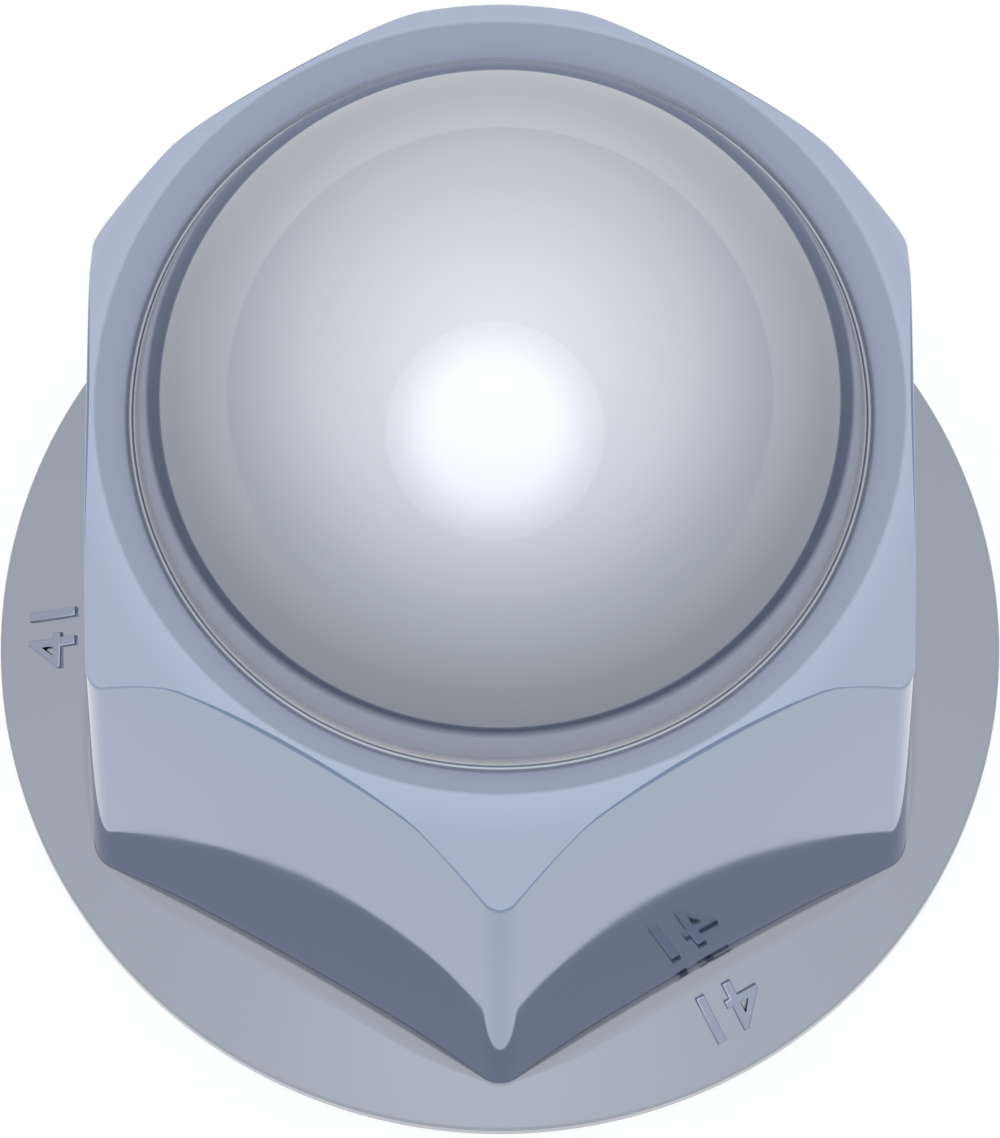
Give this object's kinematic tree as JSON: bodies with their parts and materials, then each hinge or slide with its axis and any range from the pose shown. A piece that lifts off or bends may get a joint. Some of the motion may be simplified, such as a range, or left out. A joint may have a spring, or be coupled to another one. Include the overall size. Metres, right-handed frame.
{
  "type": "nut cover cap",
  "caption": "Push-on cover for a hexagonal wheel nut, with a round flange, a hexagonal body and a domed top inside a thin crown lip.",
  "frame": {"origin": "centre of the flat foot of the flange, at its lowest plane", "axes": "+Z along the axis, from the open mouth towards the dome; two of the six flats face +X and -X, and two upright corners lie on +Y and -Y"},
  "size_m": [0.057, 0.057, 0.0589],
  "materials": {
    "chrome": "bright chrome plating over moulded plastic"
  },
  "bodies": {
    "root": {"cap": "chrome"}
  },
  "joints": []
}
